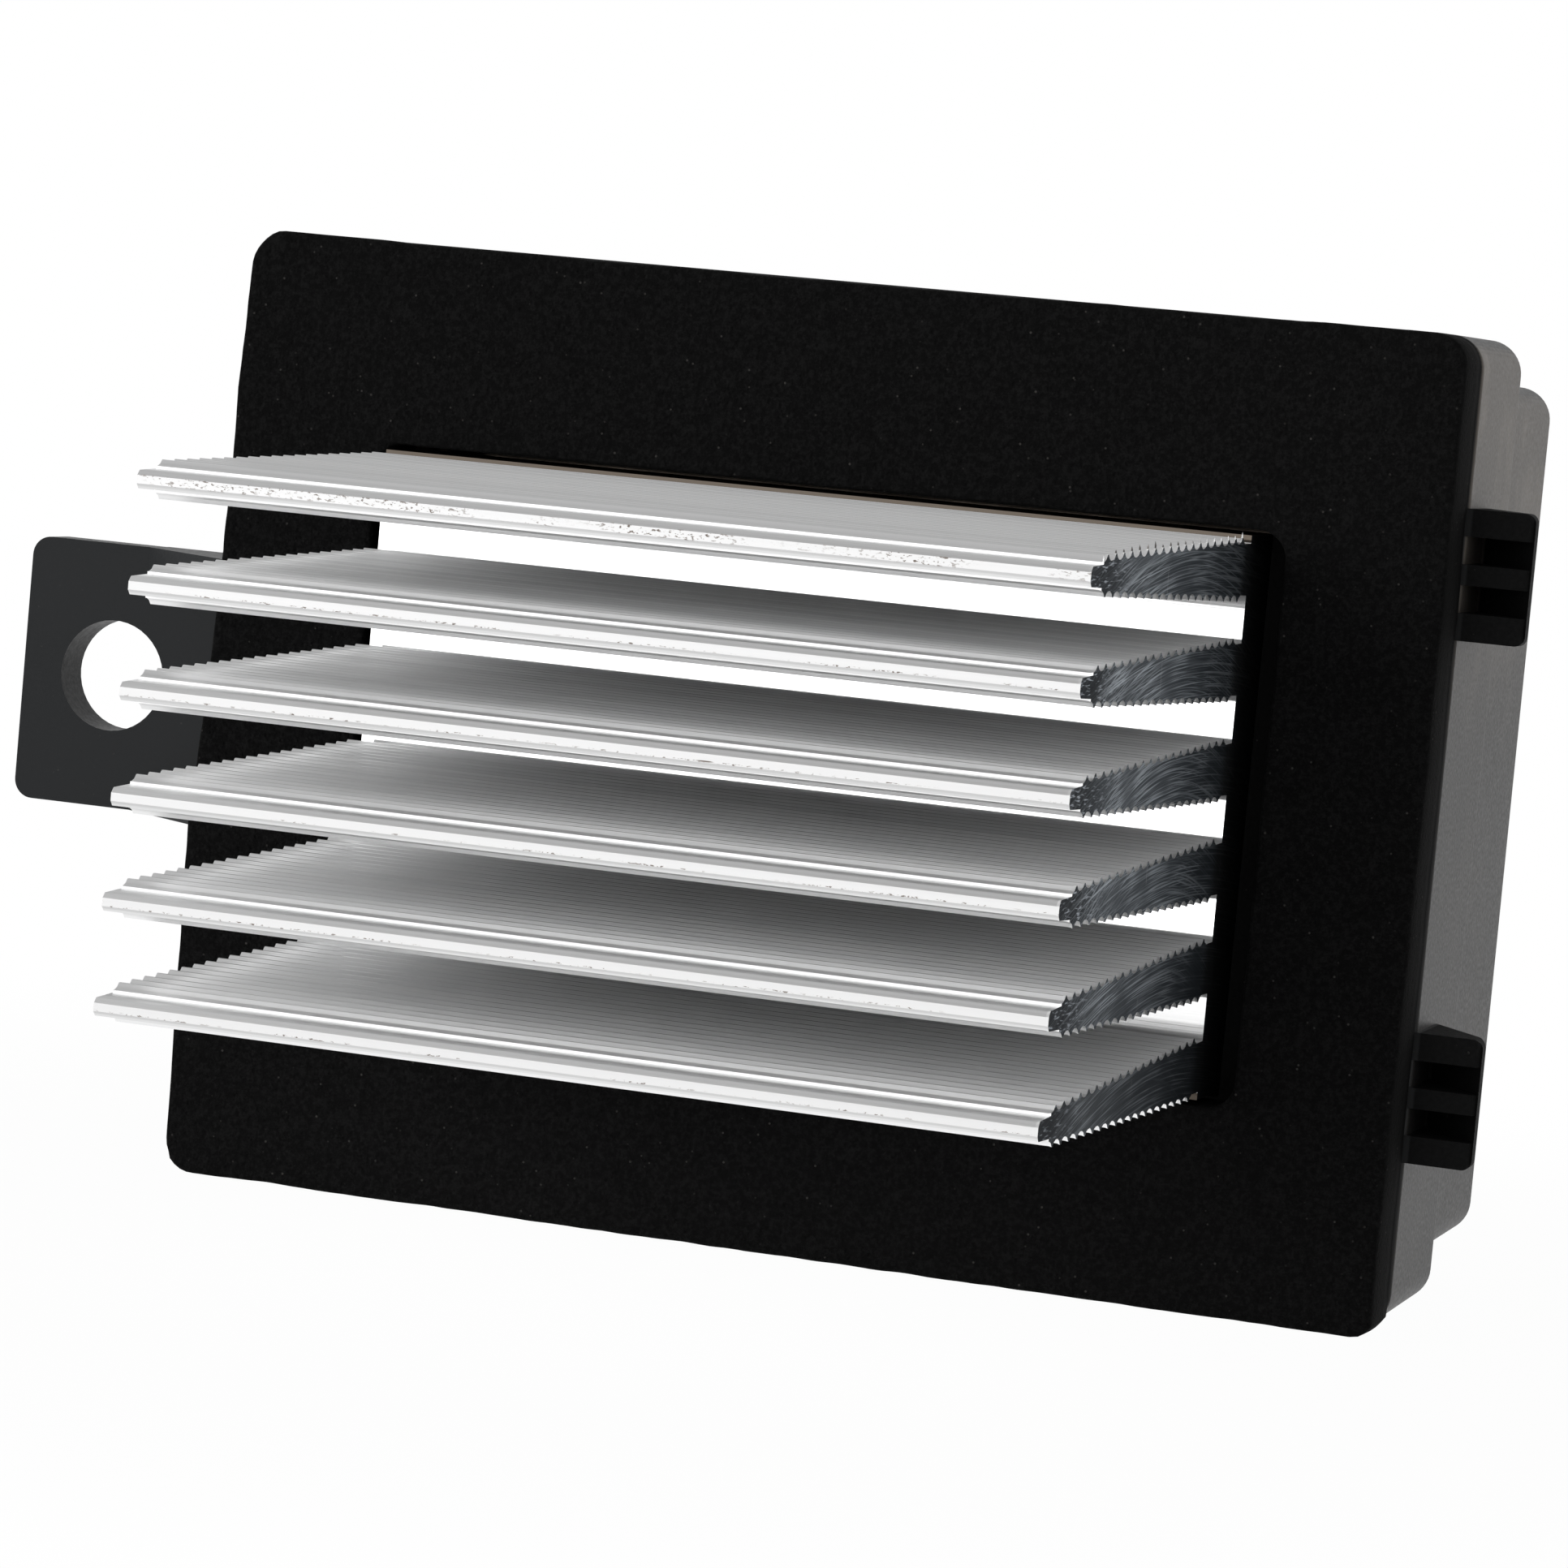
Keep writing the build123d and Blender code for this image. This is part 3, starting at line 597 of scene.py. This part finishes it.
# Object and mesh helpers
def add_object(name, data):
    """Put new data in the scene as an object."""
    item = bpy.data.objects.new(name, data)
    bpy.context.scene.collection.objects.link(item)
    return item


def add_piece(name, mesh, material):
    """Put a bmesh in the scene as an object, and free it."""
    data = bpy.data.meshes.new(name)
    mesh.to_mesh(data)
    mesh.free()
    data.materials.append(material)
    return add_object(name, data)


def clamp(value, low, high):
    return max(low, min(high, value))


def ripple(point, *waves):
    """Uneven height in millimetres, from waves of a height and a frequency each."""
    return sum(height * noise.noise(point * frequency) for height, frequency in waves)


# Foam seal, a cut sheet with wavy edges
def foam_outline(half_x, half_z, corner, step):
    """Points round a rounded rectangle, evenly spaced from the middle of the right side."""
    flat_x, flat_z = half_x - corner, half_z - corner
    arc = math.pi / 2 * corner
    lengths = [flat_z, arc, 2 * flat_x, arc, 2 * flat_z, arc, 2 * flat_x, arc, flat_z]
    total = sum(lengths)
    count = round(total / step)
    return [outline_point(total * i / count, flat_x, flat_z, corner, lengths)
            for i in range(count)]


def outline_point(s, flat_x, flat_z, corner, lengths):
    """The point a distance s along a rounded rectangle, with its outward direction."""
    for index, length in enumerate(lengths):
        if s <= length or index == len(lengths) - 1:
            break
        s -= length
    quarter = index // 2
    if index % 2:
        sx, sz = ((1, 1), (-1, 1), (-1, -1), (1, -1))[quarter]
        angle = quarter * math.pi / 2 + s / corner
        outward = Vector((math.cos(angle), 0, math.sin(angle)))
        return Vector((sx * flat_x, 0, sz * flat_z)) + outward * corner, outward
    half_x, half_z = flat_x + corner, flat_z + corner
    x, z = ((half_x, s), (flat_x - s, half_z), (-half_x, flat_z - s),
            (-flat_x + s, -half_z), (half_x, -flat_z + s))[quarter]
    out_x, out_z = ((1, 0), (0, 1), (-1, 0), (0, -1), (1, 0))[quarter]
    return Vector((x, 0, z)), Vector((out_x, 0, out_z))


def left_side_shift(side):
    """How far the left side stands to the right in millimetres, from -1 below to 1 above."""
    if side > 0.0:
        return 0.45 * side ** 2 - 0.35 * (1.0 - min(1.0, side / 0.5)) ** 2
    low = min(1.0, -side / 0.25)
    return -0.35 - 0.4 * low + 0.3 * max(0.0, (-side - 0.4) / 0.6)


def outer_edge(point, outward):
    """The sheet's outer edge: wavy, with a bowed left side and two uneven corners."""
    across, side = point.x / FOAM_HALF_X, point.z / FOAM_HALF_Z
    lean = left_side_shift(side) * clamp((-across - 0.8) / 0.1, 0.0, 1.0)
    trim = BOTTOM_TRIM
    if outward.z >= -0.5:
        trim = TRIM * (1.0 - max(0.0, outward.z) * across ** 2)
    wave = ripple(point, (0.09, 180), (0.05, 600)) + trim
    if side > 0.9 and outward.x < 0.0:
        wave += CORNER_PULL * max(0.0, -outward.x * outward.z)
    if side < -0.9 and outward.x > 0.0:
        wave -= CORNER_PULL * max(0.0, -2.0 * outward.x * outward.z) ** 1.5
    return point - outward * wave * MM + Vector((lean * MM, 0, 0))


def window_edge(point, outward):
    """The window's edge: wavy, with a left side that bulges towards the fins."""
    wave = 0.06 * noise.noise(point * 200 + WINDOW_SEED) + ripple(point, (0.03, 900))
    if outward.x < -0.5:
        wave -= WINDOW_BULGE * max(0.0, 1.0 - abs(point.z) / WINDOW_HALF_Z) ** 0.3
    return point + outward * (wave + WINDOW_TRIM) * MM


def foam_column(p_out, n_out, p_in, n_in):
    """Points from the back of the rim, over the face, to the back of the window's wall."""
    edge_out, edge_in = outer_edge(p_out, n_out), window_edge(p_in, n_in)
    column = []
    for depth in (1.0, 0.66, 0.33):
        bulge = RIM_BULGE * math.sin(depth * math.pi) * MM
        rim = edge_out + n_out * bulge + Vector((0, FOAM_THICKNESS * depth, 0))
        rim.x = min(rim.x, FOAM_HALF_X)
        rim.z = clamp(rim.z, -FOAM_HALF_Z, FOAM_HALF_Z)
        column.append(rim)
    width = (edge_in - edge_out).length
    near_edge = [FOAM_EDGE * share for share in (0.0, 0.25, 0.6, 1.0)]
    inside = [FOAM_EDGE + (width - 2 * FOAM_EDGE) * k / FOAM_ROWS for k in range(1, FOAM_ROWS)]
    for reach in near_edge + inside + [width - s for s in reversed(near_edge)]:
        flat = edge_out.lerp(edge_in, reach / width)
        flat.z = clamp(flat.z, -FOAM_HALF_Z, FOAM_HALF_Z)
        drop = FOAM_EDGE * max(0.0, 1 - min(reach, width - reach) / FOAM_EDGE) ** 2
        soft = FACE_DROP + ripple(flat, (0.05, 90), (0.04, 700), (0.03, 1800))
        column.append(flat + Vector((0, drop + soft * MM, 0)))
    for depth in (0.4, 1.0):
        column.append(edge_in + Vector((0, FOAM_THICKNESS * depth, 0)))
    return column


def build_foam():
    """A ring of columns, each across the sheet from its outer edge to the window."""
    outer = foam_outline(FOAM_HALF_X, FOAM_HALF_Z, FOAM_CORNER, FOAM_STEP)
    fine = foam_outline(WINDOW_HALF_X, WINDOW_HALF_Z, WINDOW_CORNER, WINDOW_STEP)
    count = len(outer)
    mesh = bmesh.new()
    grid = []
    for i in range(count):
        inner = fine[round(i * len(fine) / count) % len(fine)]
        grid.append([mesh.verts.new(point) for point in foam_column(*outer[i], *inner)])
    for i in range(count):
        a, b = grid[i], grid[(i + 1) % count]
        for j in range(len(a) - 1):
            mesh.faces.new((a[j], a[j + 1], b[j + 1], b[j]))
        mesh.faces.new((a[-1], a[0], b[0], b[-1]))
    bmesh.ops.recalc_face_normals(mesh, faces=mesh.faces)
    piece = add_piece("foam_seal", mesh, materials["seal_foam"])
    for face in piece.data.polygons:
        face.use_smooth = True
    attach(piece, "root")
    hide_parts("foam_gasket")


build_foam()


# Burrs of the saw along the heat sink's right end
def build_burrs():
    """A lip along each edge of the cut, and needles on the ridges on top of the top fin."""
    sink = nodes["heat_sink"]
    source = bmesh.new()
    source.from_mesh(sink.data)
    source.transform(sink.matrix_world)
    bmesh.ops.remove_doubles(source, verts=source.verts, dist=WELD_DISTANCE)
    burrs = bmesh.new()
    placed = []
    for edge in source.edges:
        a, b = (vert.co for vert in edge.verts)
        if len(edge.link_faces) != 2 or min(a.x, b.x) < SINK_RIGHT - END_MARGIN:
            continue
        cut, side = sorted(edge.link_faces, key=lambda face: -face.normal.x)
        middle = (a + b) / 2
        if cut.normal.x < 0.9 or abs(side.normal.x) > 0.1 or side.normal.y < -0.9:
            continue
        if middle.y > -ROOT_MARGIN:
            continue
        add_lip(burrs, a, b, side.normal)
        on_top_fin = middle.z > (FIN_COUNT - 1) / 2 * FIN_PITCH
        off_nose = middle.y > -FIN_REACH + TIP_MARGIN
        is_ridge_top = side.normal.z > 0.9 and (b - a).length < RIDGE_TOP_WIDTH
        is_free = all(abs(middle.y - y) > NEEDLE_GAP for y in placed)
        if on_top_fin and off_nose and is_ridge_top and is_free:
            placed.append(middle.y)
            add_needle(burrs, middle)
    source.free()
    piece = add_piece("saw_burrs", burrs, materials["fin_aluminium"])
    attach(piece, "root")


def add_lip(burrs, a, b, out):
    """A sliver along one edge of the cut, of uneven height."""
    rows = []
    for p in (a, b):
        height = (0.035 + ripple(p, (0.03, 2500))) * MM
        crest = p + out * height
        crest.y = max(crest.y, -FIN_REACH)
        back = p - Vector((LIP_DEPTH, 0.0, 0.0))
        rows.append([burrs.verts.new(q) for q in (p, crest, back)])
    for j in range(3):
        k = (j + 1) % 3
        burrs.faces.new((rows[0][j], rows[0][k], rows[1][k], rows[1][j]))
    for row in rows:
        burrs.faces.new(row)


def add_needle(burrs, foot):
    """A bent hair of metal standing on a ridge."""
    length = (0.32 + 0.22 * noise.noise(foot * 1700 + NEEDLE_SEED)) * MM
    lean = (-0.16 + ripple(foot, (0.2, 900))) * MM
    corners = ((0.0, -NEEDLE_HALF), (0.0, NEEDLE_HALF),
               (NEEDLE_DEPTH, NEEDLE_HALF), (NEEDLE_DEPTH, -NEEDLE_HALF))
    ring = [burrs.verts.new(foot + Vector((-dx, dy, -NEEDLE_FOOT))) for dx, dy in corners]
    bend = [burrs.verts.new(foot + Vector((-dx, dy * 0.7 + lean * 0.35, length * 0.5)))
            for dx, dy in corners]
    tip = burrs.verts.new(foot + Vector((-NEEDLE_TIP, lean, length)))
    for j in range(4):
        k = (j + 1) % 4
        burrs.faces.new((ring[j], ring[k], bend[k], bend[j]))
        burrs.faces.new((bend[j], bend[k], tip))
    burrs.faces.new(ring[::-1])


build_burrs()


# Stage
def build_floor():
    """A pale floor that looks white to the camera and in reflections, with a faint shadow."""
    tree = material_tree("floor_finish")
    place = tree.position()
    x, y, _ = tree.split(place)
    path = tree.outputs("ShaderNodeLightPath")
    seen = tree.larger(path["Is Camera Ray"], path["Is Glossy Ray"])
    seen = tree.larger(seen, path["Is Transmission Ray"])
    share = tree.times(seen, tree.ramp(tree.length(x, y), *SHADOW_ZONE, SHADOW_SHARE, 1.0))
    mottle = tree.noise(place, scale=0.01, detail=2.0)
    matt = tree.nodes.new("ShaderNodeBsdfDiffuse")
    tree.put(matt.inputs["Color"], tree.mix(mottle, grey(0.84), grey(0.88)))
    tree.show_blend(share, matt.outputs[0], tree.white_light("ShaderNodeEmission", 1.0))
    data = bpy.data.meshes.new("floor")
    level = housing_low.z - FLOOR_GAP
    corners = [(sx * FLOOR_REACH, sy * FLOOR_REACH, level)
               for sx, sy in ((-1, -1), (1, -1), (1, 1), (-1, 1))]
    data.from_pydata(corners, [], [(0, 1, 2, 3)])
    data.materials.append(tree.owner)
    floor = add_object("floor", data)


build_floor()


def build_world():
    """An even room, dimmer overhead, which is white to the camera and bright in reflections."""
    world = bpy.data.worlds.new("studio")
    bpy.context.scene.world = world
    tree = Tree(world, "ShaderNodeOutputWorld")
    upward = tree.split(tree.outputs("ShaderNodeTexCoord")["Generated"])[2]
    path = tree.outputs("ShaderNodeLightPath")
    sharp = tree.larger(path["Is Glossy Ray"], path["Is Transmission Ray"])
    light = tree.times(tree.ramp(sharp, 0.0, 1.0, ROOM_LEVEL, 1.0),
                       tree.ramp(upward, *CEILING_ZONE, 1.0, CEILING_LEVEL))
    lit = tree.white_light("ShaderNodeBackground", light)
    seen = tree.white_light("ShaderNodeBackground", 1.0)
    tree.show_blend(path["Is Camera Ray"], lit, seen)


build_world()


def add_lamp(name, place, width, height, power):
    data = bpy.data.lights.new(name, "AREA")
    data.shape = "RECTANGLE"
    data.size = width
    data.size_y = height
    data.energy = power
    lamp = add_object(name, data)
    lamp.location = place
    lamp.rotation_euler = (-Vector(place)).to_track_quat("-Z", "Y").to_euler()


for lamp_settings in LAMPS:
    add_lamp(*lamp_settings)


# Camera
def build_camera():
    data = bpy.data.cameras.new("camera")
    camera = add_object("camera", data)
    sin_yaw, cos_yaw = math.sin(CAMERA_YAW), math.cos(CAMERA_YAW)
    sin_pitch, cos_pitch = math.sin(CAMERA_PITCH), math.cos(CAMERA_PITCH)
    sin_roll, cos_roll = math.sin(CAMERA_ROLL), math.cos(CAMERA_ROLL)
    forward = Vector((-sin_yaw * cos_pitch, cos_yaw * cos_pitch, -sin_pitch))
    right = Vector((cos_yaw, sin_yaw, 0.0))
    up = right.cross(forward)
    turned_right = cos_roll * right + sin_roll * up
    turned_up = -sin_roll * right + cos_roll * up
    axes = Matrix((turned_right, turned_up, -forward)).transposed()
    place = Matrix.Translation(CAMERA_TARGET - forward * CAMERA_DISTANCE)
    camera.matrix_world = place @ axes.to_4x4()
    data.lens = CAMERA_LENS
    data.sensor_width = SENSOR_WIDTH
    data.sensor_fit = "HORIZONTAL"
    data.clip_start, data.clip_end = CAMERA_CLIP
    bpy.context.scene.camera = camera


build_camera()
bpy.context.scene.view_settings.view_transform = "Standard"
